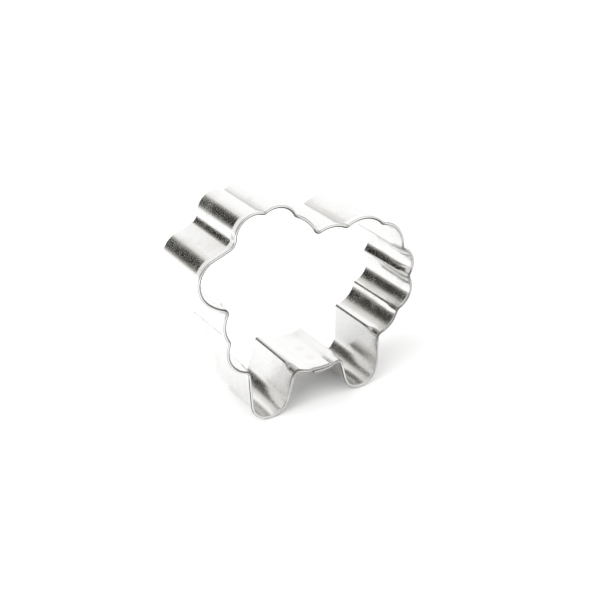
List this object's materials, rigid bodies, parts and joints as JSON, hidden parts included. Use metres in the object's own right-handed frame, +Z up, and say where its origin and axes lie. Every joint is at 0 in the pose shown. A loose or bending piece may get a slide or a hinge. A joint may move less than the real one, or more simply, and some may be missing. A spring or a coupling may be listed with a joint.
{
  "type": "cookie cutter",
  "caption": "Sheep-shaped cookie cutter: a bright sheet strip bent to the outline, hemmed along its grip edge, plain along its cutting edge, with its lapped ends spot-welded under the belly.",
  "frame": {"origin": "centre of the bounding box in plan, at the floor under the feet", "axes": "+X from the head to the tail, +Y from the hem to the cutting edge, +Z up"},
  "size_m": [0.0798, 0.025, 0.0728],
  "materials": {
    "bright_sheet": "bright rolled sheet, mirror-like with faint rolling lines and smudges",
    "weld_metal": "spot-weld dent a little duller than the sheet, with a faint heat halo"
  },
  "bodies": {
    "root": {"cutter_strip": "bright_sheet", "spot_weld_front": "weld_metal", "spot_weld_back": "weld_metal"}
  },
  "joints": []
}
